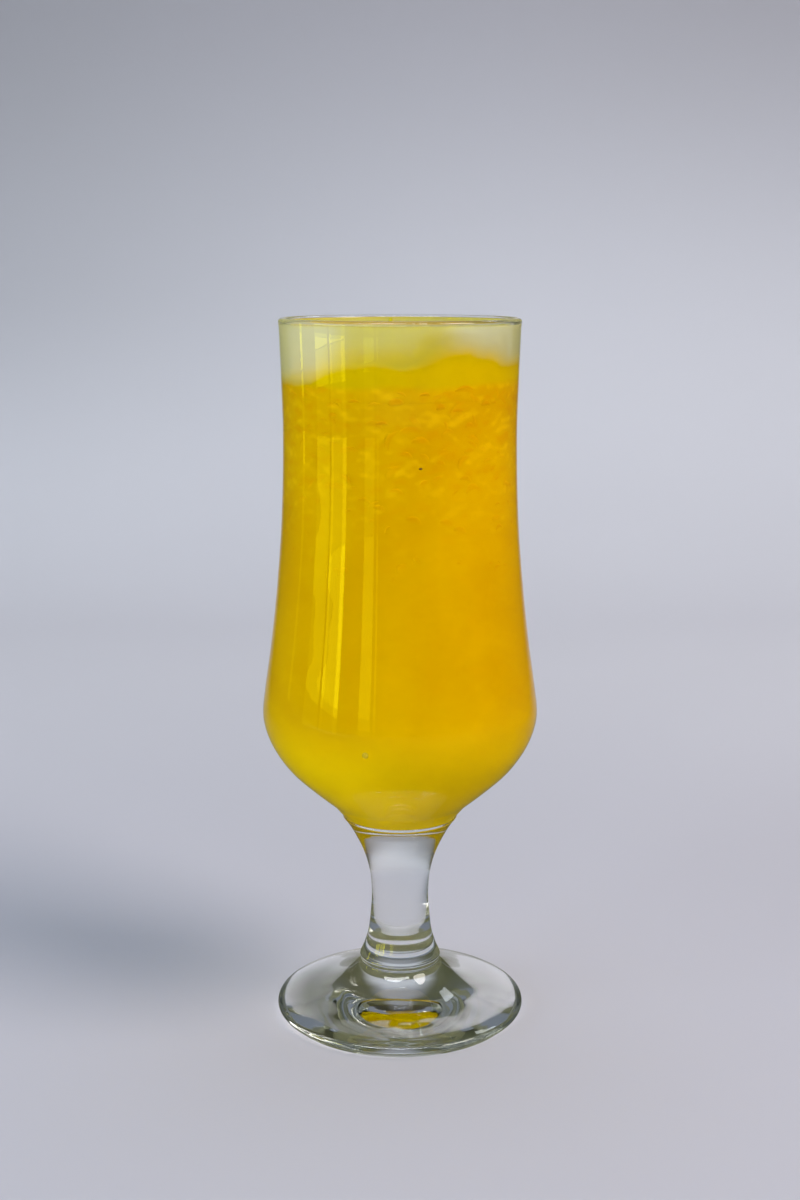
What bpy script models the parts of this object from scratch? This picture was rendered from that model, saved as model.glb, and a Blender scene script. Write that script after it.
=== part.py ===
"""A footed glass of orange juice: a turned glass with a tulip bowl, a short stem and a round foot,
and the juice that fills it. Metres, +Z up, the origin at the middle of the resting ring."""

import math

import bmesh
import bpy
from mathutils import Vector
from mathutils.geometry import interpolate_bezier

MM = 0.001

# Driving dimensions
HEIGHT = 190.0 * MM
RIM_RADIUS = 31.5 * MM
LIP_RADIUS = 0.95 * MM
WAIST_RADIUS = 30.62 * MM
WAIST_HEIGHT = 160.0 * MM
BELLY_RADIUS = 36.93 * MM
BELLY_HEIGHT = 85.0 * MM
STEM_RADIUS = 7.77 * MM
STEM_HEIGHT = 34.0 * MM
KNUCKLE_RADIUS = 11.1 * MM
KNUCKLE_HEIGHT = 15.6 * MM
FOOT_RADIUS = 34.0 * MM
FOOT_EDGE_HEIGHT = 2.3 * MM
FOOT_EDGE_ROUNDING = 1.3 * MM
RESTING_RING_OUTSIDE = 32.0 * MM
RESTING_RING_INSIDE = 28.0 * MM
RECESS_DEPTH = 2.2 * MM
HOLLOW_BOTTOM = 57.0 * MM
UPPER_WALL = 2.0 * MM
BELLY_WALL = 3.0 * MM
JUICE_LEVEL = 174.3 * MM
CLEARANCE = 0.3 * MM
SEGMENTS = 48

GLASS_COLOR = (0.82, 0.85, 0.86, 1.0)
GLASS_ROUGHNESS = 0.03
GLASS_IOR = 1.5
JUICE_COLOR = (0.66, 0.35, 0.004, 1.0)
JUICE_ROUGHNESS = 0.3


def clear_scene():
    """Removes every object, so that the script can be run again."""
    for item in list(bpy.data.objects):
        bpy.data.objects.remove(item, do_unlink=True)


def smooth_run(stations, steps, start=None, end=None):
    """Points on one smooth curve through the stations, each a (radius, height) pair,
    with the given number of steps between two stations. start and end are the directions
    of the curve at its ends, where they matter."""
    points = [Vector(station) for station in stations]
    tangents = []
    for i, point in enumerate(points):
        before = points[max(i - 1, 0)]
        after = points[min(i + 1, len(points) - 1)]
        reach = (after - point).length + (point - before).length
        tangents.append((after - before) / reach)
    if start is not None:
        tangents[0] = Vector(start).normalized()
    if end is not None:
        tangents[-1] = Vector(end).normalized()
    run = [points[0]]
    for i in range(len(points) - 1):
        third = (points[i + 1] - points[i]).length / 3
        first_handle = points[i] + tangents[i] * third
        second_handle = points[i + 1] - tangents[i + 1] * third
        run += interpolate_bezier(points[i], first_handle, second_handle, points[i + 1], steps + 1)[1:]
    return run


def arc(centre, radius, start, end, steps):
    """Points on an arc in the radius and height plane, from one angle to the other in degrees."""
    points = []
    for i in range(steps + 1):
        angle = math.radians(start + (end - start) * i / steps)
        points.append(Vector((centre[0] + radius * math.cos(angle), centre[1] + radius * math.sin(angle))))
    return points


def underside_outline():
    """The shallow dome under the foot and the flat ring that the glass rests on."""
    dome = smooth_run(
        [
            (0.0, RECESS_DEPTH),
            (0.5 * RESTING_RING_INSIDE, 0.8 * RECESS_DEPTH),
            (RESTING_RING_INSIDE, 0.0),
        ],
        steps=3,
        start=(1.0, 0.0),
    )
    return dome + [Vector((RESTING_RING_OUTSIDE, 0.0))]


def foot_outline():
    """The rounded edge of the foot and its upper side, up to the knuckle under the stem."""
    edge_centre = (FOOT_RADIUS - FOOT_EDGE_ROUNDING, FOOT_EDGE_HEIGHT)
    edge = arc(edge_centre, FOOT_EDGE_ROUNDING, -60.0, 70.0, 5)
    upper_side = smooth_run(
        [
            edge[-1],
            (31.0 * MM, 4.3 * MM),
            (26.0 * MM, 5.6 * MM),
            (20.0 * MM, 7.4 * MM),
            (15.0 * MM, 9.9 * MM),
            (12.0 * MM, 12.6 * MM),
            (10.9 * MM, 14.4 * MM),
        ],
        steps=1,
    )
    knuckle = [
        Vector((KNUCKLE_RADIUS, KNUCKLE_HEIGHT - 0.4 * MM)),
        Vector((KNUCKLE_RADIUS, KNUCKLE_HEIGHT + 0.4 * MM)),
        Vector((KNUCKLE_RADIUS - 0.6 * MM, KNUCKLE_HEIGHT + 1.3 * MM)),
    ]
    return edge + upper_side[1:] + knuckle


def stem_outline():
    """The stem, narrowest at its middle, and the flare that ends in a crease under the bowl."""
    return smooth_run(
        [
            (10.05 * MM, 18.0 * MM),
            (8.8 * MM, 22.1 * MM),
            (7.95 * MM, 29.2 * MM),
            (STEM_RADIUS, STEM_HEIGHT),
            (8.3 * MM, 40.0 * MM),
            (10.0 * MM, 46.0 * MM),
            (12.9 * MM, 52.0 * MM),
            (15.3 * MM, 56.0 * MM),
            (18.0 * MM, 59.4 * MM),
        ],
        steps=2,
    )


def bowl_outline():
    """The outside of the bowl: a wide belly low down, a long waist and a slightly flared mouth."""
    return smooth_run(
        [
            (18.2 * MM, 59.7 * MM),
            (24.45 * MM, 65.0 * MM),
            (29.75 * MM, 70.0 * MM),
            (33.45 * MM, 75.0 * MM),
            (35.85 * MM, 80.0 * MM),
            (BELLY_RADIUS, BELLY_HEIGHT),
            (36.4 * MM, 91.0 * MM),
            (34.4 * MM, 105.0 * MM),
            (32.7 * MM, 120.0 * MM),
            (31.25 * MM, 138.0 * MM),
            (WAIST_RADIUS, WAIST_HEIGHT),
            (30.95 * MM, 176.0 * MM),
            (RIM_RADIUS - 0.15 * MM, HEIGHT - 2.5 * MM),
        ],
        steps=2,
        start=(1.0, 0.83),
    )


def lip_outline():
    """The rounded lip, from outside to inside."""
    centre = (RIM_RADIUS - LIP_RADIUS, HEIGHT - LIP_RADIUS)
    return arc(centre, LIP_RADIUS, -10.0, 190.0, 6)


def hollow_outline():
    """The inside of the bowl, from the lip down to the middle of its round bottom."""
    return smooth_run(
        [
            (RIM_RADIUS - 0.1 * MM - UPPER_WALL, HEIGHT - 3.5 * MM),
            (30.95 * MM - UPPER_WALL, 176.0 * MM),
            (WAIST_RADIUS - UPPER_WALL, WAIST_HEIGHT),
            (31.25 * MM - UPPER_WALL, 138.0 * MM),
            (30.5 * MM, 120.0 * MM),
            (31.9 * MM, 105.0 * MM),
            (33.4 * MM, 92.5 * MM),
            (BELLY_RADIUS - BELLY_WALL, BELLY_HEIGHT),
            (31.2 * MM, 77.0 * MM),
            (25.1 * MM, 69.5 * MM),
            (18.3 * MM, 63.3 * MM),
            (10.0 * MM, 58.7 * MM),
            (0.0, HOLLOW_BOTTOM),
        ],
        steps=2,
        end=(-1.0, 0.0),
    )


def inset_run(run, distance):
    """The same run, which ends on the axis, moved to its right by a distance."""
    moved = []
    for i, point in enumerate(run):
        along = run[min(i + 1, len(run) - 1)] - run[max(i - 1, 0)]
        aside = Vector((along.y, -along.x)).normalized()
        moved.append(point + aside * distance)
    moved[-1] = Vector((0.0, run[-1].y + distance))
    return moved


def juice_outline():
    """The level top of the juice and its side, a clearance inside the hollow of the glass."""
    side = inset_run(hollow_outline(), CLEARANCE)
    below = [point for point in side if point.y < JUICE_LEVEL]
    above = side[len(side) - len(below) - 1]
    share = (JUICE_LEVEL - below[0].y) / (above.y - below[0].y)
    brink = below[0].lerp(above, share)
    return [Vector((0.0, JUICE_LEVEL)), brink] + below


def turned_mesh(name, outline):
    """A mesh made by turning an outline, which starts and ends on the Z axis, a full turn."""
    bm = bmesh.new()
    corners = [bm.verts.new((point.x, 0.0, point.y)) for point in outline]
    edges = [bm.edges.new(pair) for pair in zip(corners, corners[1:])]
    bmesh.ops.spin(
        bm,
        geom=corners + edges,
        cent=(0.0, 0.0, 0.0),
        axis=(0.0, 0.0, 1.0),
        angle=math.tau,
        steps=SEGMENTS,
        use_merge=True,
    )
    bmesh.ops.remove_doubles(bm, verts=bm.verts, dist=0.01 * MM)
    bmesh.ops.recalc_face_normals(bm, faces=bm.faces)
    mesh = bpy.data.meshes.new(name)
    bm.to_mesh(mesh)
    bm.free()
    mesh.shade_smooth()
    mesh.set_sharp_from_angle(angle=math.radians(40.0))
    return mesh


def add_object(name, outline, material):
    """One turned piece, in the scene with its material."""
    mesh = turned_mesh(name, outline)
    mesh.materials.append(material)
    piece = bpy.data.objects.new(name, mesh)
    bpy.context.scene.collection.objects.link(piece)
    return piece


def principled(name, color, roughness):
    """A material with one Principled shader, and that shader."""
    material = bpy.data.materials.new(name)
    material.use_nodes = True
    material.diffuse_color = color
    shader = material.node_tree.nodes["Principled BSDF"]
    shader.inputs["Base Color"].default_value = color
    shader.inputs["Roughness"].default_value = roughness
    shader.inputs["Metallic"].default_value = 0.0
    return material, shader


def glass_material():
    """Clear soda-lime glass."""
    material, shader = principled("clear_glass", GLASS_COLOR, GLASS_ROUGHNESS)
    shader.inputs["Transmission Weight"].default_value = 1.0
    shader.inputs["IOR"].default_value = GLASS_IOR
    return material


def juice_material():
    """Cloudy yellow-orange juice."""
    material, shader = principled("orange_juice", JUICE_COLOR, JUICE_ROUGHNESS)
    shader.inputs["IOR"].default_value = 1.34
    return material


def build():
    clear_scene()
    glass = underside_outline() + foot_outline() + stem_outline() + bowl_outline()
    glass += lip_outline() + hollow_outline()
    add_object("glass", glass, glass_material())
    add_object("juice", juice_outline(), juice_material())


build()
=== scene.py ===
"""The looks of a footed glass of orange juice: clear glass, cloudy juice with its pulp,
the film that it leaves on the wall above, and a pale studio round it, whose paper carries painted light
and shade."""

import math
import random

import bmesh
import bpy
from mathutils import Matrix, Vector, noise
from mathutils.geometry import interpolate_bezier


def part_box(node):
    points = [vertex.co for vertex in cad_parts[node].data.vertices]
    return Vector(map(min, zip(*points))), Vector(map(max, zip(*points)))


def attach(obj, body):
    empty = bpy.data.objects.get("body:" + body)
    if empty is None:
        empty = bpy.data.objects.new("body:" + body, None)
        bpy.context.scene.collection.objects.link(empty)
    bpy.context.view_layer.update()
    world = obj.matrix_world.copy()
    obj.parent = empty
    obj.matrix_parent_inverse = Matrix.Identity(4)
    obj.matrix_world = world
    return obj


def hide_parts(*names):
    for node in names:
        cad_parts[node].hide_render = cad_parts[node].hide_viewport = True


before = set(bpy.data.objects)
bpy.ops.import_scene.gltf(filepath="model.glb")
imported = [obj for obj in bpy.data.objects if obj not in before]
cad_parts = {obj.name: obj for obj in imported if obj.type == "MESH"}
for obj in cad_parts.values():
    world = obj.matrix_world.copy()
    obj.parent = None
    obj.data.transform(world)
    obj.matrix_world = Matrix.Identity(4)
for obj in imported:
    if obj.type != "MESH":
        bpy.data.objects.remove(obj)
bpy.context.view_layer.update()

bl_info = {
    "name": "Glass of Orange Juice",
    "version": (1, 0, 0),
    "blender": (4, 5, 0),
    "location": "3D View > Sidebar > Juice Glass",
    "description": "Builds a footed glass of orange juice and its studio",
    "category": "Object",
}

MM = 0.001
BODY = "root"
GLASS_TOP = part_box("glass")[1]
JUICE_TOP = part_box("juice")[1]

# The paper, in metres: its front edge, where its wall stands, its top, its width, the radius of
# its curve and how far it lies under the foot
PAPER_FRONT = -1.6
PAPER_WALL = 1.0
PAPER_TOP = 2.4
PAPER_WIDTH = 4.0
PAPER_CURVE = 0.5
PAPER_GAP = 0.05 * MM

# Where the lamps aim, and how many times light mirrors inside the glass
LAMP_AIM = Vector((0.0, 0.0, 0.1))
MIRRORINGS = 12

# The window's panes as degrees to the left of the camera, from and to, with the light of each,
# then its rows with a lower edge, an upper edge and a light
PANES = (
    (20.0, 21.5, 0.2),
    (24.0, 33.5, 0.35),
    (52.0, 56.0, 1.0),
    (56.0, 66.0, 0.45),
    (66.0, 68.5, 0.8),
    (70.5, 86.0, 0.55),
    (104.0, 107.0, 0.5),
)
PANE_ROWS = ((0.082, 0.26, 1.0), (0.062, 0.082, 0.55), (-0.03, 0.062, 0.15))
PANE_TINT = (1.0, 0.95, 0.01)

# The inside of the glass at the juice's level, how deep a sac sits in the juice, how thick a sac
# at the wall is at most, and how high the lumps on the surface are
NECK_RADIUS = 28.8 * MM
SAC_SINK = 0.03 * MM
NEAR_THICKNESS = 0.2 * MM
LUMP_HEIGHT = 0.22 * MM

# The largest sacs near the camera, as degrees to the right, depth under the level in mm, half
# the width and half the height in mm, bend in mm and tone from 0, dark, to 1, light
NEAR_SACS = (
    (32.7, 1.6, 3.4, 0.6, 1.3, 0.0),
    (-2.0, 4.0, 2.1, 1.2, 0.4, 0.1),
    (-22.5, 4.0, 1.7, 0.5, 0.5, 0.1),
    (19.8, 5.5, 1.3, 1.0, 0.6, 0.1),
    (28.8, 6.4, 1.9, 0.6, 0.5, 0.1),
    (-8.8, 9.2, 1.8, 0.6, 0.4, 0.1),
    (12.0, 2.2, 1.6, 0.6, 0.5, 0.1),
    (46.0, 5.0, 1.8, 0.7, 0.5, 0.2),
    (-34.0, 7.5, 1.6, 0.6, 0.4, 0.2),
)

# The bubble on the wall, with its azimuth in degrees, height and radius in mm, the flecks of
# peel and the drops near the brim, with an azimuth, a height and two half sizes or scales
WALL_BUBBLE = (-104.6, 82.7, 0.8)
FLECKS = ((-80.1, 154.2, 0.5, 0.28), (40.0, 141.0, 0.4, 0.3))
DROPS = ((95.0, 188.4, 0.9, 1.6), (102.0, 184.3, 0.7, 0.8), (60.0, 181.0, 0.6, 0.8))


# Properties


def length(name, description, default):
    """A property that holds a length in metres."""
    return bpy.props.FloatProperty(
        name=name, description=description, default=default, unit="LENGTH", precision=5
    )


def color(name, description, default):
    """A property that holds a linear colour."""
    return bpy.props.FloatVectorProperty(
        name=name, description=description, default=default, subtype="COLOR", min=0.0, max=1.0
    )


def amount(name, description, default):
    """A property that holds a plain number."""
    return bpy.props.FloatProperty(name=name, description=description, default=default)


class GlassSizes(bpy.types.PropertyGroup):
    """Sizes of the turned glass."""

    height: length("Height", "From the resting ring to the brim", GLASS_TOP.z)
    belly_radius: length("Belly radius", "Widest radius of the bowl", GLASS_TOP.x - 0.02 * MM)
    belly_height: length("Belly height", "Height of the widest place", 85.0 * MM)
    waist_radius: length("Waist radius", "Radius of the bowl where it narrows", 30.62 * MM)
    waist_height: length("Waist height", "Height of the narrow place", 160.0 * MM)
    rim_radius: length("Rim radius", "Outside radius of the brim", 31.5 * MM)
    lip_radius: length("Lip radius", "Radius of the rounded lip's section", 0.95 * MM)
    stem_radius: length("Stem radius", "Radius of the stem at its thinnest", 7.77 * MM)
    stem_height: length("Stem height", "Height of the stem's thinnest place", 34.0 * MM)
    knuckle_radius: length("Knuckle radius", "Radius of the ring under the stem", 11.1 * MM)
    knuckle_height: length("Knuckle height", "Height of the ring under the stem", 15.6 * MM)
    foot_radius: length("Foot radius", "Outside radius of the foot", 34.0 * MM)
    foot_edge: length("Foot edge", "Height of the middle of the foot's edge", 2.3 * MM)
    foot_rounding: length("Foot rounding", "Radius of the foot's rounded edge", 1.3 * MM)
    ring_outside: length("Ring outside", "Outside radius of the resting ring", 32.0 * MM)
    ring_inside: length("Ring inside", "Inside radius of the resting ring", 28.0 * MM)
    recess_depth: length("Recess depth", "Depth of the dome under the foot", 1.0 * MM)
    hollow_bottom: length("Hollow bottom", "Height of the inside's lowest place", 57.0 * MM)
    upper_wall: length("Upper wall", "Thickness of the wall near the brim", 2.0 * MM)
    belly_wall: length("Belly wall", "Thickness of the wall at the belly", 3.0 * MM)
    segments: bpy.props.IntProperty(
        name="Segments", description="Sides of every turned piece", default=192
    )


class JuiceSizes(bpy.types.PropertyGroup):
    """Sizes of the juice and what floats in it."""

    level: length("Level", "Height of the juice in the glass", JUICE_TOP.z)
    reach: length("Reach", "How far the juice reaches into the wall", 0.2 * MM)
    meniscus: length("Meniscus", "How far the juice climbs at the wall", 0.9 * MM)
    film_top: length("Film top", "Height that the film on the wall reaches", 189.45 * MM)
    film_foot: length("Film foot", "How far the film runs down below the level", 5.0 * MM)
    pulp_depth: length("Pulp depth", "How far below the level pulp floats", 46.0 * MM)
    pulp_count: bpy.props.IntProperty(
        name="Pulp count", description="Pulp sacs that show at the wall", default=300
    )
    floating_count: bpy.props.IntProperty(
        name="Floating count", description="Pulp sacs on the surface", default=70
    )
    bubble_count: bpy.props.IntProperty(
        name="Bubble count", description="Bubbles on the surface", default=150
    )


class JuiceColors(bpy.types.PropertyGroup):
    """Colours of the juice."""

    top: color("Top", "Juice in the upper bowl", (0.66, 0.365, 0.0))
    # The low colour is partly the juice's own yellower bottom and partly painted light: it is made
    # brighter where little light reaches the round bottom.
    low: color("Low", "Juice in the round bottom", (0.92, 0.62, 0.0))
    surface: color("Surface", "Juice at its level and thick on the wall", (0.65, 0.44, 0.0))
    pulp_dark: color("Dark pulp", "Pulp that lies in its own shade", (0.66, 0.29, 0.0))
    # Pale pulp, which also serves as the painted light on the lower sides of the pulp lumps and sacs.
    pulp_pale_and_lit: color("Light pulp", "Pulp that lies close to the wall", (0.95, 0.62, 0.004))
    film: color("Film", "Thin juice on the wall", (0.62, 0.53, 0.045))
    thin: color("Thin film", "The thinnest juice on the wall", (0.66, 0.61, 0.29))
    speck: color("Speck", "A fleck of peel", (0.12, 0.06, 0.01))
    drop: color("Drop", "A drop near the brim", (0.62, 0.55, 0.01))


class StudioSettings(bpy.types.PropertyGroup):
    """The floor, backdrop, lamps and camera."""

    floor_color: color("Floor", "Pale lavender paper", (0.615, 0.60, 0.685))
    # Painted light: the paper is paler where it curves up.
    curve_painted_light_color: color("Curve", "The paper where it curves up", (0.85, 0.83, 0.90))
    # Painted shade: the paper darkens high on the wall.
    wall_painted_shade_color: color("Wall", "The paper high on the wall", (0.45, 0.43, 0.47))
    # Painted shadow: the paper darkens under the foot, most at its left and front.
    shade_color: color("Shade", "The paper in the shade under the foot", (0.14, 0.145, 0.125))
    # Painted shade: the paper darkens high at the left.
    corner_painted_shade_color: color("Corner", "The paper high at the left", (0.29, 0.28, 0.30))
    # Painted reflection: what the glass mirrors of the paper at the sides is dark, as if cards stood
    # there, though there are none; the second colour is what the glass mirrors from inside.
    painted_reflection_color: color("Cards", "Dim cards that the glass mirrors at the sides", (0.10, 0.10, 0.03))
    painted_inner_reflection_color: color("Inner cards", "The cards as the glass mirrors them inside", (0.165, 0.16, 0.095))
    room_color: color("Room", "Light from the room", (0.62, 0.68, 0.85))
    room_strength: amount("Room strength", "Brightness of the room", 0.3)
    key_power: amount("Key power", "Watts of the main soft lamp", 8.7)
    fill_power: amount("Fill power", "Watts of the soft lamp behind the camera", 5.3)
    sky_power: amount("Sky power", "Watts of the soft lamp over the paper", 8.3)
    window_power: amount("Window power", "Watts of the window at the left", 11.5)
    pane_light: amount("Pane light", "Brightness of the panes that the bowl mirrors", 5.5)
    camera_distance: length("Camera distance", "Level distance to the glass", 436.286 * MM)
    camera_height: length("Camera height", "Height of the camera", 202.804 * MM)
    camera_tilt: bpy.props.FloatProperty(
        name="Camera tilt", description="How far the camera looks down",
        default=math.radians(11.298), subtype="ANGLE",
    )
    camera_lens: amount("Camera lens", "Focal length in millimetres", 50.0)


# Materials


class Wire:
    """One output of a material's nodes. Arithmetic on it adds Math nodes."""

    def __init__(self, finish, socket):
        self.finish = finish
        self.socket = socket

    def math(self, operation, first, second=0.0):
        """The result of one Math node, which leaves out second where it takes one value."""
        return self.finish.node("ShaderNodeMath", {"operation": operation}, {0: first, 1: second})

    def __add__(self, other):
        return self.math("ADD", self, other)

    def __radd__(self, other):
        return self.math("ADD", other, self)

    def __sub__(self, other):
        return self.math("SUBTRACT", self, other)

    def __rsub__(self, other):
        return self.math("SUBTRACT", other, self)

    def __mul__(self, other):
        return self.math("MULTIPLY", self, other)

    def __rmul__(self, other):
        return self.math("MULTIPLY", other, self)

    def __truediv__(self, other):
        return self.math("DIVIDE", self, other)

    def __pow__(self, other):
        return self.math("POWER", self, other)

    def rise(self, low, high):
        """0 where the value is at or below low, 1 at or above high, and smooth between."""
        return self.finish.node(
            "ShaderNodeMapRange",
            {"interpolation_type": "SMOOTHSTEP"},
            {"Value": self, "From Min": low, "From Max": high},
        )


class Finish:
    """A material while it is made: its Principled shader and the nodes before it."""

    def __init__(self, name, constants):
        self.material = bpy.data.materials.new(name)
        self.material.use_nodes = True
        self.tree = self.material.node_tree
        self.shader = self.tree.nodes["Principled BSDF"]
        self.output = self.tree.nodes["Material Output"]
        for socket, value in constants.items():
            self.shader.inputs[socket].default_value = value

    def node(self, kind, settings=None, inputs=None, output=0):
        """Adds one node. Its settings come first, then the values or links of its sockets."""
        made = self.tree.nodes.new(kind)
        for setting, value in (settings or {}).items():
            setattr(made, setting, value)
        for socket, value in (inputs or {}).items():
            if isinstance(value, Wire):
                self.tree.links.new(value.socket, made.inputs[socket])
            else:
                made.inputs[socket].default_value = value
        return Wire(self, made.outputs[output])

    def feed(self, socket, wire):
        """Links a wire to a socket of the Principled shader."""
        self.tree.links.new(wire.socket, self.shader.inputs[socket])

    def place(self):
        """Object coordinates, in metres."""
        return self.node("ShaderNodeTexCoord", output="Object")

    def axes(self, place):
        """The three parts of a vector."""
        return [self.node("ShaderNodeSeparateXYZ", inputs={0: place}, output=i) for i in range(3)]

    def off_axis(self, across, depth):
        """The distance from the glass's axis."""
        return (across * across + depth * depth) ** 0.5

    def blotches(self, place, scale, detail=3.0, distortion=0.0, stretch=(1.0, 1.0, 1.0)):
        """Soft noise from 0 to 1, with scale in blotches for each metre."""
        moved = self.node(
            "ShaderNodeMapping", {"vector_type": "POINT"}, {"Vector": place, "Scale": stretch}
        )
        return self.node(
            "ShaderNodeTexNoise",
            {"noise_dimensions": "3D"},
            {
                "Vector": moved,
                "Scale": scale,
                "Detail": detail,
                "Distortion": distortion,
            },
            output="Fac",
        )

    def lit_from_below(self, place, scale, step):
        """Soft lumps as light from below shows them: above 0 on their lower sides, below 0 on
        their upper sides. step is how far apart the two samples of the lumps lie."""
        higher = self.node("ShaderNodeVectorMath", {"operation": "ADD"}, {0: place, 1: (0.0, 0.0, step)})
        lumps = [self.blotches(p, scale, detail=1.0) for p in (place, higher)]
        return (lumps[1] - lumps[0]) * 3.0

    def blend(self, share, first, second):
        """A colour between two others."""
        colors = [c if isinstance(c, Wire) else (*c, 1.0) for c in (first, second)]
        return self.node(
            "ShaderNodeMix",
            {"data_type": "RGBA", "clamp_factor": True},
            {0: share, 6: colors[0], 7: colors[1]},
            output=2,
        )

    def bump(self, height, strength, distance):
        """Links a height to the shader as relief."""
        relief = self.node(
            "ShaderNodeBump", inputs={"Height": height, "Strength": strength, "Distance": distance}
        )
        self.feed("Normal", relief)

    def pass_lamps(self, tint):
        """Lets the lamps shine through a clear material, so that what is inside is lit."""
        shadow = self.node("ShaderNodeLightPath", output="Is Shadow Ray")
        clear = self.node("ShaderNodeBsdfTransparent", inputs={"Color": (*tint, 1.0)})
        mixed = self.node(
            "ShaderNodeMixShader",
            inputs={0: shadow, 1: Wire(self, self.shader.outputs[0]), 2: clear},
        )
        self.tree.links.new(mixed.socket, self.output.inputs["Surface"])


def glass_finish():
    """Clear pressed glass with a faint waviness and a slight green in its depth."""
    finish = Finish(
        "clear_glass",
        {
            "Base Color": (1.0, 1.0, 1.0, 1.0),
            "Transmission Weight": 1.0,
            "IOR": 1.5,
            "Roughness": 0.0,
        },
    )
    place = finish.place()
    waves = finish.blotches(place, 45.0, detail=1.0, stretch=(1.0, 1.0, 0.3))
    swirls = finish.blotches(place, 70.0, detail=0.5, distortion=1.0)
    low = 1.0 - finish.axes(place)[2].rise(10.0 * MM, 16.0 * MM)
    finish.bump(0.16 * waves + 0.14 * low * swirls, 1.0, 1.0 * MM)
    finish.pass_lamps((0.8, 0.81, 0.81))
    depth = finish.node(
        "ShaderNodeVolumeAbsorption", inputs={"Color": (0.72, 0.86, 0.82, 1.0), "Density": 6.0}
    )
    finish.tree.links.new(depth.socket, finish.output.inputs["Volume"])
    return finish.material


def cloudy_color(finish, place, sizes, colors):
    """The juice's colour: yellower at its level, yellower and brighter low down, partly its own colour
    and partly painted light, with pulp lumps between that carry painted light below and painted shade
    above.
    """
    height = finish.axes(place)[2]
    # Brighter and yellower low down: partly the juice's own colour, partly painted light where little
    # light reaches the bottom.
    ground = finish.blend(height.rise(72.0 * MM, 92.0 * MM), colors.low, colors.top)
    drift = finish.blotches(place, 38.0, detail=2.0)
    ground = finish.blend(0.2 * drift.rise(0.35, 0.7), ground, colors.low)
    # Painted light and shade: the pulp lumps are lighter on their lower sides and darker on their upper
    # sides, as if lit from below.
    relief = finish.lit_from_below(place, 165.0, 0.9 * MM) + 0.7 * finish.lit_from_below(
        place, 280.0, 0.5 * MM
    )
    zone = height.rise(sizes.level - sizes.pulp_depth, sizes.level - 0.3 * sizes.pulp_depth)
    # How strongly the painted light and shade on the pulp show: faint everywhere, strongest in the upper
    # pulp zone.
    reach = 0.05 + 0.34 * zone
    lit_and_shaded_pulp = finish.blend(reach * relief.rise(0.0, 0.5), ground, colors.pulp_pale_and_lit)
    shade = reach * (0.0 - relief).rise(0.0, 0.5)
    lit_and_shaded_pulp = finish.blend(shade, lit_and_shaded_pulp, colors.pulp_dark)
    edge = height + (drift - 0.5) * 4.0 * MM
    at_level = edge.rise(sizes.level - 1.5 * MM, sizes.level + 1.0 * MM)
    return finish.blend(at_level, lit_and_shaded_pulp, colors.surface)


def juice_finish(name, sizes, colors):
    """Cloudy juice behind glass, more orange on its open surface. Its attributes bare and
    shade tint the pulp where it shows."""
    finish = Finish(name, {"Roughness": 0.45, "IOR": 1.34, "Specular IOR Level": 0.0})
    place = finish.place()
    across, depth, height = finish.axes(place)
    distance = finish.off_axis(across, depth)
    open_top = height.rise(sizes.level - 2.0 * MM, sizes.level - 1.0 * MM)
    open_top = open_top * (1.0 - distance.rise(23.0 * MM, 27.0 * MM))
    ground = finish.blend(0.8 * open_top, cloudy_color(finish, place, sizes, colors), colors.top)
    bare = finish.node("ShaderNodeAttribute", {"attribute_name": "bare"}, output="Fac")
    shade = finish.node("ShaderNodeAttribute", {"attribute_name": "shade"}, output="Fac")
    # The sacs' colour: their own tone with painted shade at their upper edges and painted light at their
    # lower edges, from the shade attribute.
    sac = finish.blend(shade, colors.pulp_dark, colors.pulp_pale_and_lit)
    finish.feed("Base Color", finish.blend(bare, ground, sac))
    return finish.material


def film_finish(sizes, colors):
    """Thin juice that clings to the wall: opaque up to a soft bank that stands higher at one
    side, then thin and pale, with a trace on the brim."""
    finish = Finish("juice_film", {"Roughness": 0.35, "IOR": 1.34, "Specular IOR Level": 0.0})
    place = finish.place()
    across, depth, height = finish.axes(place)
    clouds = finish.blotches(place, 75.0, detail=4.0, stretch=(1.0, 1.0, 0.5))
    runs = finish.blotches(place, 260.0, detail=3.0, stretch=(1.0, 1.0, 0.12))
    side = across / NECK_RADIUS
    lift = (height - sizes.level) / MM + (clouds - 0.5) * 5.0
    foot = 7.1 * side.rise(-0.9, -0.3) - 4.5 + 2.0 * side.rise(0.1, 0.5)
    foot = foot - 3.4 * side.rise(0.55, 0.95)
    reach = 9.0 - 6.2 * side.rise(-0.7, -0.3) + 5.0 * side.rise(0.0, 0.4)
    reach = reach + 4.0 * depth.rise(0.0, 8.0 * MM)
    bank = 1.0 - ((lift - foot) / reach).rise(0.0, 1.0)
    middle = side.rise(-0.75, -0.3) - side.rise(0.2, 0.65)
    veil = (0.53 + 0.06 * middle) * (0.92 + 0.16 * clouds) * (0.97 + 0.06 * runs)
    lip = (height - sizes.film_top).rise(-1.0 * MM, -0.4 * MM)
    veil = veil * (1.0 - lip * (0.55 + 0.45 * side.rise(0.55, 0.9)))
    brim = (height + 0.5 * MM * runs).rise(sizes.film_top - 1.4 * MM, sizes.film_top - 0.5 * MM)
    brim = brim * depth.rise(0.0, 6.0 * MM)
    outer = finish.node("ShaderNodeAttribute", {"attribute_name": "outer"}, output="Fac")
    see_through = (1.0 - veil) * (1.0 - bank) * (1.0 - 0.85 * brim)
    finish.feed("Alpha", outer * (1.0 - see_through))
    thin = finish.blend((middle * (1.0 - lip) + brim).rise(0.0, 1.0), colors.thin, colors.film)
    thick = cloudy_color(finish, place, sizes, colors)
    finish.feed("Base Color", finish.blend(1.45 * bank, thin, thick))
    return finish.material


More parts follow.
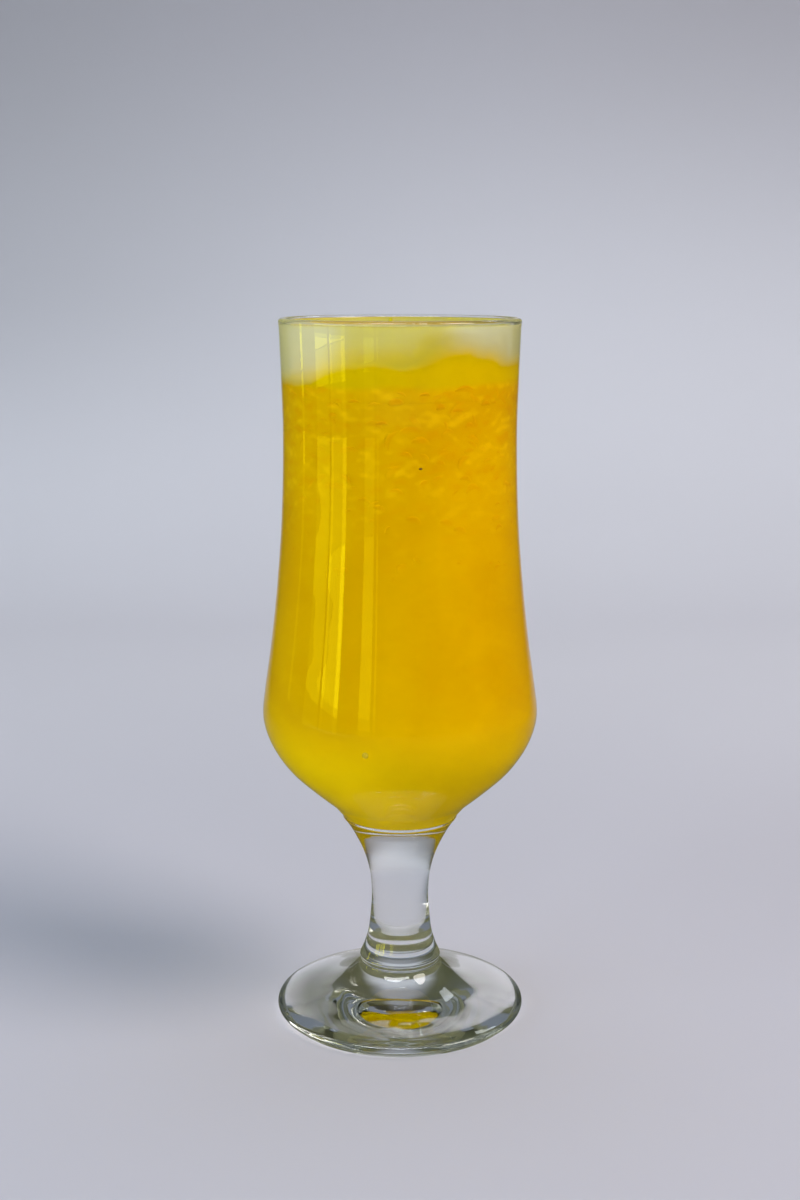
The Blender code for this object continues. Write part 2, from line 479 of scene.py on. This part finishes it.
def paper_finish(studio):
    """Pale paper, with painted light where it curves up, painted shade high on the wall and at the
    upper left, and a painted shadow under the foot. The glass mirrors only the part behind it: the
    rest is a painted reflection, dark as if cards stood at the sides, so that the juice keeps its
    full colour."""
    finish = Finish("pale_paper", {"Roughness": 0.9, "Specular IOR Level": 0.0})
    place = finish.place()
    across, depth, height = finish.axes(place)
    # Painted light and shade: paler where the paper curves up, darker high on the wall.
    tone = finish.blend(depth.rise(-0.02, 0.5), studio.floor_color, studio.curve_painted_light_color)
    tone = finish.blend(height.rise(0.06, 0.5), tone, studio.wall_painted_shade_color)
    # Painted shade high at the left of the paper.
    corner = 0.45 * (1.0 - across.rise(-0.45, 0.15)) * height.rise(0.0, 0.2)
    tone = finish.blend(corner, tone, studio.corner_painted_shade_color)
    grain = finish.blotches(place, 6.0, detail=2.0)
    tone = finish.blend(0.15 * grain, tone, studio.floor_color)
    distance = finish.off_axis(across, depth)
    # Painted shadow under the foot, darkest towards its left and front.
    under = 1.0 - distance.rise(24.0 * MM, 35.0 * MM)
    left = 1.0 - (across + 0.6 * depth).rise(-30.0 * MM, 12.0 * MM)
    tone = finish.blend(under * (0.3 + 0.6 * left), tone, studio.shade_color)
    # Painted reflection: what the glass mirrors of the paper is dark, except behind the glass, as if
    # dark cards stood at the sides.
    mirrored = finish.node("ShaderNodeLightPath", output="Glossy Depth").rise(0.0, 1.0)
    inside = finish.node("ShaderNodeLightPath", output="Transmission Depth").rise(0.0, 1.0)
    aside = across.math("ABSOLUTE", across)
    behind = depth.rise(0.0, 0.6) * (1.0 - aside.rise(0.1, 0.4))
    painted_reflection = finish.blend(inside, studio.painted_reflection_color, studio.painted_inner_reflection_color)
    finish.feed("Base Color", finish.blend(mirrored * (1.0 - behind), tone, painted_reflection))
    return finish.material


def plain_finish(name, tint, roughness, specular):
    """One colour with a slight variation, for the smallest pieces."""
    finish = Finish(name, {"Roughness": roughness, "IOR": 1.34, "Specular IOR Level": specular})
    grain = finish.blotches(finish.place(), 900.0)
    paler = tuple(min(1.0, 1.25 * part) for part in tint)
    finish.feed("Base Color", finish.blend(grain, tint, paler))
    return finish


def bubble_finish(colors):
    """Thin domes of froth."""
    finish = plain_finish("froth", colors.film, 0.08, 0.5)
    finish.shader.inputs["Alpha"].default_value = 0.45
    return finish.material


# Outlines, as runs of points with a radius and a height


def smooth_run(stations, steps, start=None, end=None):
    """Points on one smooth curve through the stations, with steps pieces between two."""
    points = [Vector(station) for station in stations]
    tangents = []
    for i, point in enumerate(points):
        before = points[max(i - 1, 0)]
        after = points[min(i + 1, len(points) - 1)]
        reach = (after - point).length + (point - before).length
        tangents.append((after - before) / reach)
    if start is not None:
        tangents[0] = Vector(start).normalized()
    if end is not None:
        tangents[-1] = Vector(end).normalized()
    run = [points[0]]
    for i in range(len(points) - 1):
        third = (points[i + 1] - points[i]).length / 3
        first_handle = points[i] + tangents[i] * third
        second_handle = points[i + 1] - tangents[i + 1] * third
        piece = interpolate_bezier(points[i], first_handle, second_handle, points[i + 1], steps + 1)
        run += piece[1:]
    return run


def arc(centre, radius, start, end, steps):
    """Points on an arc, from one angle to the other in degrees."""
    points = []
    for i in range(steps + 1):
        angle = math.radians(start + (end - start) * i / steps)
        spoke = Vector((math.cos(angle), math.sin(angle)))
        points.append(Vector(centre) + radius * spoke)
    return points


def foot_outline(sizes):
    """The dome under the foot, the resting ring, the rounded edge and the upper side."""
    dome = smooth_run(
        [
            (0.0, sizes.recess_depth),
            (0.5 * sizes.ring_inside, 0.8 * sizes.recess_depth),
            (sizes.ring_inside, 0.0),
        ],
        steps=10,
        start=(1.0, 0.0),
    )
    ring = [Vector((sizes.ring_outside - 1.0 * MM, 0.0)), Vector((sizes.ring_outside, 0.0))]
    edge_centre = (sizes.foot_radius - sizes.foot_rounding, sizes.foot_edge)
    edge = arc(edge_centre, sizes.foot_rounding, -60.0, 70.0, 12)
    upper_side = smooth_run(
        [
            edge[-1],
            (31.0 * MM, 4.3 * MM),
            (26.0 * MM, 5.6 * MM),
            (20.0 * MM, 7.4 * MM),
            (15.0 * MM, 9.9 * MM),
            (12.0 * MM, 12.6 * MM),
            (10.9 * MM, 14.4 * MM),
            (sizes.knuckle_radius, sizes.knuckle_height),
            (sizes.knuckle_radius - 0.5 * MM, sizes.knuckle_height + 1.2 * MM),
            (10.05 * MM, 18.0 * MM),
        ],
        steps=5,
    )
    return dome + ring + edge + upper_side[1:]


def stem_outline(sizes):
    """The stem and the flare, with a low seam and a crease under the bowl."""
    return smooth_run(
        [
            (10.05 * MM, 18.0 * MM),
            (8.8 * MM, 22.1 * MM),
            (7.95 * MM, 29.2 * MM),
            (sizes.stem_radius, sizes.stem_height),
            (8.3 * MM, 40.0 * MM),
            (10.0 * MM, 46.0 * MM),
            (12.9 * MM, 52.0 * MM),
            (15.1 * MM, 55.4 * MM),
            (15.55 * MM, 55.9 * MM),
            (15.5 * MM, 56.3 * MM),
            (15.8 * MM, 56.8 * MM),
            (18.0 * MM, 59.4 * MM),
        ],
        steps=6,
    )


def bowl_outline(sizes):
    """The outside of the bowl: a wide belly low down, a long waist and a flared mouth."""
    return smooth_run(
        [
            (18.2 * MM, 59.7 * MM),
            (24.45 * MM, 65.0 * MM),
            (29.75 * MM, 70.0 * MM),
            (33.45 * MM, 75.0 * MM),
            (35.85 * MM, 80.0 * MM),
            (sizes.belly_radius, sizes.belly_height),
            (36.4 * MM, 91.0 * MM),
            (34.4 * MM, 105.0 * MM),
            (32.7 * MM, 120.0 * MM),
            (31.25 * MM, 138.0 * MM),
            (sizes.waist_radius, sizes.waist_height),
            (30.95 * MM, 176.0 * MM),
            (sizes.rim_radius - 0.15 * MM, sizes.height - 2.5 * MM),
        ],
        steps=6,
        start=(1.0, 0.83),
    )


def lip_outline(sizes):
    """The rounded lip, from outside to inside."""
    centre = (sizes.rim_radius - sizes.lip_radius, sizes.height - sizes.lip_radius)
    return arc(centre, sizes.lip_radius, -10.0, 190.0, 16)


def hollow_outline(sizes):
    """The inside of the bowl, from the lip down to the middle of its round bottom."""
    return smooth_run(
        [
            (sizes.rim_radius - 0.1 * MM - sizes.upper_wall, sizes.height - 3.5 * MM),
            (30.95 * MM - sizes.upper_wall, 176.0 * MM),
            (sizes.waist_radius - sizes.upper_wall, sizes.waist_height),
            (31.25 * MM - sizes.upper_wall, 138.0 * MM),
            (30.5 * MM, 120.0 * MM),
            (31.9 * MM, 105.0 * MM),
            (33.4 * MM, 92.5 * MM),
            (sizes.belly_radius - sizes.belly_wall, sizes.belly_height),
            (31.2 * MM, 77.0 * MM),
            (25.1 * MM, 69.5 * MM),
            (18.3 * MM, 63.3 * MM),
            (10.0 * MM, 58.7 * MM),
            (0.0, sizes.hollow_bottom),
        ],
        steps=6,
        end=(-1.0, 0.0),
    )


def offset_run(run, distance):
    """The same falling run, moved into the wall by a distance."""
    moved = []
    for i, point in enumerate(run):
        along = run[min(i + 1, len(run) - 1)] - run[max(i - 1, 0)]
        aside = Vector((-along.y, along.x)).normalized()
        moved.append(point + aside * distance)
    if run[-1].x == 0.0:
        moved[-1] = Vector((0.0, run[-1].y - distance))
    return moved


def radius_at(run, height):
    """The radius of a falling run at a height."""
    for upper, lower in zip(run, run[1:]):
        if lower.y <= height <= upper.y:
            share = (height - lower.y) / (upper.y - lower.y)
            return lower.x + (upper.x - lower.x) * share
    return run[0].x


def part_below(run, height):
    """The part of a falling run below a height, with a first point exactly there."""
    return [Vector((radius_at(run, height), height))] + [p for p in run if p.y < height - 1e-6]


# Meshes


def turned(outline, segments, closed=False, outer_count=0):
    """A bmesh made by turning an outline about Z. A closed outline makes a ring. The first
    points of the outline, as many as outer_count, get 1 in the attribute outer."""
    bm = bmesh.new()
    outer = bm.verts.layers.float.new("outer")
    corners = [bm.verts.new((point.x, 0.0, point.y)) for point in outline]
    for vert in corners[:outer_count]:
        vert[outer] = 1.0
    edges = [bm.edges.new(pair) for pair in zip(corners, corners[1:])]
    if closed:
        edges.append(bm.edges.new((corners[-1], corners[0])))
    bmesh.ops.spin(
        bm,
        geom=corners + edges,
        cent=(0.0, 0.0, 0.0),
        axis=(0.0, 0.0, 1.0),
        angle=math.tau,
        steps=segments,
        use_merge=True,
    )
    bmesh.ops.remove_doubles(bm, verts=bm.verts, dist=0.005 * MM)
    bmesh.ops.recalc_face_normals(bm, faces=bm.faces)
    return bm


def add_piece(name, bm, material, stands_for=()):
    """Makes a bmesh a smooth piece of the part, which rides on its one body."""
    mesh = bpy.data.meshes.new(name)
    bm.to_mesh(mesh)
    bm.free()
    mesh.shade_smooth()
    mesh.materials.append(material)
    piece = bpy.data.objects.new(name, mesh)
    bpy.context.scene.collection.objects.link(piece)
    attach(piece, BODY)
    if stands_for:
        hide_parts(*stands_for)
    return piece


def smoothstep(low, high, value):
    """0 below low, 1 above high, and smooth between."""
    share = min(1.0, max(0.0, (value - low) / (high - low)))
    return share * share * (3.0 - 2.0 * share)


def add_sac(bm, bare, shade, size, bend, turn, tone, settle, show=0.38):
    """One juice sac: a ball drawn out to a drop and bent, then settled on its place.
    settle turns a point across, up and out of the surface into a point of the glass. tone runs
    from dark to light, with painted shade towards the sac's upper edge and painted light towards
    its lower edge, and show is how strongly it tints."""
    across, thick, tall = size
    ball = bmesh.ops.create_icosphere(bm, subdivisions=2, radius=1.0)["verts"]
    for vert in ball:
        u = vert.co.x
        taper = 1.0 - 0.35 * (0.5 + 0.5 * u)
        flat = Vector((u * across, vert.co.y * tall * taper + bend * (1.0 - u * u)))
        flat.rotate(Matrix.Rotation(turn, 2))
        lift = vert.co.z * thick * taper
        vert[bare] = show * smoothstep(0.0, thick, lift)
        # Painted shade and light: darker towards the sac's upper edge, lighter towards its lower edge,
        # as if lit from below.
        vert[shade] = min(1.0, max(0.0, tone - 0.55 * flat.y / (tall + bend)))
        vert.co = settle(flat.x, flat.y, lift)


def at_wall(wall, azimuth, height):
    """Settles points on the juice's side round one place, a little into the wall."""

    def settle(x, y, lift):
        around = azimuth + x / radius_at(wall, height)
        out = radius_at(wall, height + y) + lift - SAC_SINK
        return Vector((out * math.cos(around), out * math.sin(around), height + y))

    return settle


class JUICEGLASS_OT_glass(bpy.types.Operator):
    """Turns the glass: bowl, stem and foot in one piece"""

    bl_idname = "juiceglass.glass"
    bl_label = "Glass"

    def execute(self, context):
        sizes = context.scene.juiceglass_glass
        outline = foot_outline(sizes) + stem_outline(sizes)[1:] + bowl_outline(sizes)
        outline += lip_outline(sizes) + hollow_outline(sizes)
        add_piece("glass_body", turned(outline, sizes.segments), glass_finish(), ("glass",))
        return {"FINISHED"}


class JUICEGLASS_OT_juice(bpy.types.Operator):
    """Fills the glass: the body of juice with its meniscus and uneven top"""

    bl_idname = "juiceglass.juice"
    bl_label = "Juice"

    def execute(self, context):
        glass = context.scene.juiceglass_glass
        juice = context.scene.juiceglass_juice
        wall = offset_run(hollow_outline(glass), juice.reach)
        brim = juice.level + juice.meniscus
        edge = radius_at(wall, brim)
        top = []
        rings = 44
        for i in range(rings):
            radius = edge * i / rings
            climb = juice.meniscus * math.exp(-(edge - radius) / (1.1 * MM))
            top.append(Vector((radius, juice.level + climb)))
        bm = turned(top + part_below(wall, brim), glass.segments)
        for vert in bm.verts:
            if vert.co.z > juice.level - 0.01 * MM and vert.co.xy.length < edge - 0.5 * MM:
                lumps = noise.fractal(vert.co * 260.0, 0.6, 2.0, 3)
                vert.co.z += LUMP_HEIGHT * lumps
        finish = juice_finish("cloudy_juice", juice, context.scene.juiceglass_colors)
        add_piece("juice_body", bm, finish, ("juice",))
        return {"FINISHED"}


class JUICEGLASS_OT_pulp(bpy.types.Operator):
    """Adds the pulp that shows at the wall and on the surface"""

    bl_idname = "juiceglass.pulp"
    bl_label = "Pulp"

    def execute(self, context):
        glass = context.scene.juiceglass_glass
        juice = context.scene.juiceglass_juice
        wall = offset_run(hollow_outline(glass), juice.reach)
        draw = random.Random(12)
        bm = bmesh.new()
        bare = bm.verts.layers.float.new("bare")
        shade = bm.verts.layers.float.new("shade")
        for _ in range(juice.pulp_count):
            depth = draw.random() ** 1.7
            height = juice.level - 2.0 * MM - depth * juice.pulp_depth
            azimuth = draw.uniform(0.0, math.tau)
            across = draw.uniform(1.2, 3.4) * MM * (1.0 - 0.45 * depth)
            add_sac(
                bm, bare, shade,
                size=(across, draw.uniform(0.08, 0.14) * MM, across * draw.uniform(0.25, 0.5)),
                bend=across * draw.uniform(0.1, 0.6),
                turn=draw.gauss(0.0, 0.6),
                tone=draw.uniform(0.0, 0.5),
                settle=at_wall(wall, azimuth, height),
            )
        for azimuth, depth, across, tall, bend, tone in NEAR_SACS:
            add_sac(
                bm, bare, shade,
                size=(across * MM, NEAR_THICKNESS, tall * MM),
                bend=bend * MM,
                turn=0.0,
                tone=tone,
                settle=at_wall(wall, math.radians(azimuth - 90.0), juice.level - depth * MM),
                show=0.65,
            )
        for _ in range(juice.floating_count):
            azimuth = draw.uniform(0.0, math.tau)
            radius = radius_at(wall, juice.level) * math.sqrt(draw.random()) * 0.82
            middle = Vector((radius * math.cos(azimuth), radius * math.sin(azimuth)))
            across = draw.uniform(1.2, 3.2) * MM

            def settle(x, y, lift):
                return Vector((middle.x + x, middle.y + y, juice.level + lift))

            add_sac(
                bm, bare, shade,
                size=(across, draw.uniform(0.3, 0.6) * MM, across * draw.uniform(0.25, 0.4)),
                bend=across * draw.uniform(0.1, 0.5),
                turn=draw.uniform(0.0, math.tau),
                tone=draw.uniform(0.7, 1.3),
                settle=settle,
            )
        finish = juice_finish("juice_sacs", juice, context.scene.juiceglass_colors)
        add_piece("juice_pulp", bm, finish)
        return {"FINISHED"}


class JUICEGLASS_OT_film(bpy.types.Operator):
    """Adds the film of juice on the wall above the level"""

    bl_idname = "juiceglass.film"
    bl_label = "Film"

    def execute(self, context):
        glass = context.scene.juiceglass_glass
        juice = context.scene.juiceglass_juice
        lip = lip_outline(glass)
        wall = lip[len(lip) // 2:] + hollow_outline(glass)
        foot = juice.level - juice.film_foot
        run = [point for point in part_below(wall, juice.film_top) if point.y > foot]
        run.append(Vector((radius_at(wall, foot), foot)))
        outside = offset_run(run, juice.reach + 0.02 * MM)
        outside[-1].x -= 0.06 * MM
        inside = offset_run(run, -0.08 * MM)
        bm = turned(outside + inside[::-1], glass.segments, closed=True, outer_count=len(run))
        finish = film_finish(juice, context.scene.juiceglass_colors)
        add_piece("juice_film", bm, finish)
        return {"FINISHED"}


class JUICEGLASS_OT_froth(bpy.types.Operator):
    """Adds the bubbles, the flecks of peel and the drops near the brim"""

    bl_idname = "juiceglass.froth"
    bl_label = "Froth and flecks"

    def execute(self, context):
        glass = context.scene.juiceglass_glass
        juice = context.scene.juiceglass_juice
        colors = context.scene.juiceglass_colors
        wall = hollow_outline(glass)
        draw = random.Random(5)
        bm = bmesh.new()
        edge = radius_at(wall, juice.level)
        for _ in range(juice.bubble_count):
            size = draw.uniform(0.25, 1.0) ** 1.5 * MM
            azimuth = draw.gauss(0.7, 1.3)
            radius = edge - size - abs(draw.gauss(0.0, 3.5)) * MM
            middle = Vector((radius * math.cos(azimuth), radius * math.sin(azimuth), juice.level))
            ball = bmesh.ops.create_icosphere(bm, subdivisions=2, radius=size)["verts"]
            for vert in ball:
                vert.co.z *= 0.7
                vert.co += middle
        face = offset_run(wall, juice.reach)
        azimuth, height, size = WALL_BUBBLE
        near_bubble = bmesh.ops.create_icosphere(bm, subdivisions=3, radius=size * MM)["verts"]
        at_bubble = at_wall(face, math.radians(azimuth), height * MM)
        for vert in near_bubble:
            vert.co = at_bubble(vert.co.x, vert.co.z, 0.4 * vert.co.y)
        add_piece("froth_bubbles", bm, bubble_finish(colors))

        flecks = bmesh.new()
        for azimuth, height, across, tall in FLECKS:
            at_fleck = at_wall(face, math.radians(azimuth), height * MM)
            ball = bmesh.ops.create_icosphere(flecks, subdivisions=2, radius=MM)["verts"]
            for vert in ball:
                vert.co = at_fleck(vert.co.x * across, vert.co.z * tall, vert.co.y * 0.12)
        fleck_finish = plain_finish("peel", colors.speck, 0.6, 0.2)
        add_piece("peel_flecks", flecks, fleck_finish.material)

        drops = bmesh.new()
        for azimuth, height, across, tall in DROPS:
            angle = math.radians(azimuth)
            radius = radius_at(wall, height * MM) - 0.1 * MM
            middle = Vector((radius * math.cos(angle), radius * math.sin(angle), height * MM))
            ball = bmesh.ops.create_icosphere(drops, subdivisions=3, radius=0.5 * MM)["verts"]
            for vert in ball:
                vert.co = Vector((vert.co.x * across, vert.co.y * across, vert.co.z * tall)) + middle
        drop_finish = plain_finish("juice_drop", colors.drop, 0.1, 0.5)
        add_piece("juice_drops", drops, drop_finish.material)
        return {"FINISHED"}


class JUICEGLASS_OT_studio(bpy.types.Operator):
    """Sets the floor, the backdrop, the lamps and the camera"""

    bl_idname = "juiceglass.studio"
    bl_label = "Studio"

    def execute(self, context):
        studio = context.scene.juiceglass_studio
        self.add_paper(studio)
        self.add_room(context, studio)
        self.add_lamps(studio)
        self.add_camera(context, studio)
        return {"FINISHED"}

    def add_lamps(self, studio):
        """A warm key at the right, cool fill, a glow that the foot would gather under the bowl,
        and the window's panes that the bowl mirrors."""
        add_lamp("key", (0.80, -0.39, 0.90), (0.6, 0.6), studio.key_power, (1.0, 0.94, 0.86))
        add_lamp("fill", (0.0, -1.3, 0.35), (1.2, 0.8), studio.fill_power, (0.94, 0.97, 1.0), "diffuse")
        add_lamp("sky", (0.1, 0.5, 1.5), (2.0, 1.4), studio.sky_power, (0.84, 0.92, 1.0), "diffuse")
        cool = (0.75, 0.93, 1.0)
        add_lamp("window", (-0.95, -0.6, 0.3), (0.9, 0.6), studio.window_power, cool, "diffuse")
        add_lamp("glow", (0.0, 0.0, 0.3 * MM), (0.05, 0.05), 0.025, (1.0, 0.95, 0.85), "diffuse")
        add_lamp("gloss_right", (0.54, 0.60, 0.90), (0.22, 0.2), 0.7, (0.9, 0.95, 1.0), "glossy")
        add_lamp("gloss_high", (-0.15, -0.75, 1.15), (1.3, 0.3), 14.0, (0.95, 0.97, 1.0), "glossy")
        for i, (start, end, share) in enumerate(PANES):
            middle = math.radians(0.5 * (start + end))
            width = math.radians(end - start)
            for sill, top, light in PANE_ROWS:
                place = (-math.sin(middle), -math.cos(middle), 0.5 * (sill + top))
                power = 4.0 * width * (top - sill) * share * light * studio.pane_light
                add_lamp(f"pane_{i}", place, (width, top - sill), power, PANE_TINT, "glossy")

    def add_paper(self, studio):
        """A sheet of pale paper that runs from the floor up the wall in one curve."""
        profile = [Vector((PAPER_FRONT, 0.0))]
        for i in range(19):
            angle = math.radians(5.0 * i)
            back = PAPER_WALL + PAPER_CURVE * (math.sin(angle) - 1.0)
            profile.append(Vector((back, PAPER_CURVE * (1.0 - math.cos(angle)))))
        profile.append(Vector((PAPER_WALL, PAPER_TOP)))
        bm = bmesh.new()
        verts = [bm.verts.new((-0.5 * PAPER_WIDTH, p.x, p.y - PAPER_GAP)) for p in profile]
        edges = [bm.edges.new(pair) for pair in zip(verts, verts[1:])]
        swept = bmesh.ops.extrude_edge_only(bm, edges=edges)["geom"]
        side = [item for item in swept if isinstance(item, bmesh.types.BMVert)]
        bmesh.ops.translate(bm, verts=side, vec=(PAPER_WIDTH, 0.0, 0.0))
        bmesh.ops.recalc_face_normals(bm, faces=bm.faces)
        mesh = bpy.data.meshes.new("paper")
        bm.to_mesh(mesh)
        bm.free()
        mesh.shade_smooth()
        mesh.materials.append(paper_finish(studio))
        paper = bpy.data.objects.new("paper", mesh)
        bpy.context.scene.collection.objects.link(paper)

    def add_room(self, context, studio):
        """Soft light from the room, which runs far enough round inside the clear foot."""
        world = bpy.data.worlds.new("room")
        world.use_nodes = True
        context.scene.world = world
        sky = world.node_tree.nodes["Background"]
        sky.inputs["Color"].default_value = (*studio.room_color, 1.0)
        sky.inputs["Strength"].default_value = studio.room_strength
        world.cycles_visibility.diffuse = False
        world.cycles_visibility.glossy = False
        context.scene.cycles.glossy_bounces = MIRRORINGS

    def add_camera(self, context, studio):
        """The camera at the photo's viewing angle."""
        lens = bpy.data.cameras.new("camera")
        lens.lens = studio.camera_lens
        lens.sensor_width = 36.0
        lens.clip_start = 0.01
        lens.clip_end = 20.0
        camera = bpy.data.objects.new("camera", lens)
        camera.location = (0.0, -studio.camera_distance, studio.camera_height)
        camera.rotation_euler = (math.radians(90.0) - studio.camera_tilt, 0.0, 0.0)
        context.scene.collection.objects.link(camera)
        context.scene.camera = camera
        context.scene.view_settings.view_transform = "Standard"


def add_lamp(name, place, size, power, tint, only=None):
    """One soft rectangular lamp that points at the bowl. only limits it to diffuse light or
    to what the glass mirrors."""
    lamp = bpy.data.lights.new(name, "AREA")
    lamp.shape = "ELLIPSE" if only is None else "RECTANGLE"
    lamp.size, lamp.size_y = size
    lamp.energy = power
    lamp.color = tint
    item = bpy.data.objects.new(name, lamp)
    item.location = place
    item.rotation_euler = (Vector(place) - LAMP_AIM).to_track_quat("Z", "Y").to_euler()
    item.visible_camera = False
    item.visible_diffuse = only != "glossy"
    item.visible_glossy = only != "diffuse"
    item.visible_transmission = only is None
    bpy.context.scene.collection.objects.link(item)


class JUICEGLASS_PT_panel(bpy.types.Panel):
    """Lists the pieces of the glass of juice"""

    bl_label = "Juice Glass"
    bl_space_type = "VIEW_3D"
    bl_region_type = "UI"
    bl_category = "Juice Glass"

    def draw(self, context):
        for operator in OPERATORS:
            self.layout.operator(operator.bl_idname)


OPERATORS = (
    JUICEGLASS_OT_glass,
    JUICEGLASS_OT_juice,
    JUICEGLASS_OT_pulp,
    JUICEGLASS_OT_film,
    JUICEGLASS_OT_froth,
    JUICEGLASS_OT_studio,
)
GROUPS = {
    "juiceglass_glass": GlassSizes,
    "juiceglass_juice": JuiceSizes,
    "juiceglass_colors": JuiceColors,
    "juiceglass_studio": StudioSettings,
}


def register():
    for name, group in GROUPS.items():
        bpy.utils.register_class(group)
        setattr(bpy.types.Scene, name, bpy.props.PointerProperty(type=group))
    for operator in OPERATORS:
        bpy.utils.register_class(operator)
    bpy.utils.register_class(JUICEGLASS_PT_panel)


def unregister():
    bpy.utils.unregister_class(JUICEGLASS_PT_panel)
    for operator in reversed(OPERATORS):
        bpy.utils.unregister_class(operator)
    for name, group in GROUPS.items():
        delattr(bpy.types.Scene, name)
        bpy.utils.unregister_class(group)


def main():
    register()
    for operator in OPERATORS:
        family, name = operator.bl_idname.split(".")
        getattr(getattr(bpy.ops, family), name)()


if __name__ == "__main__":
    main()
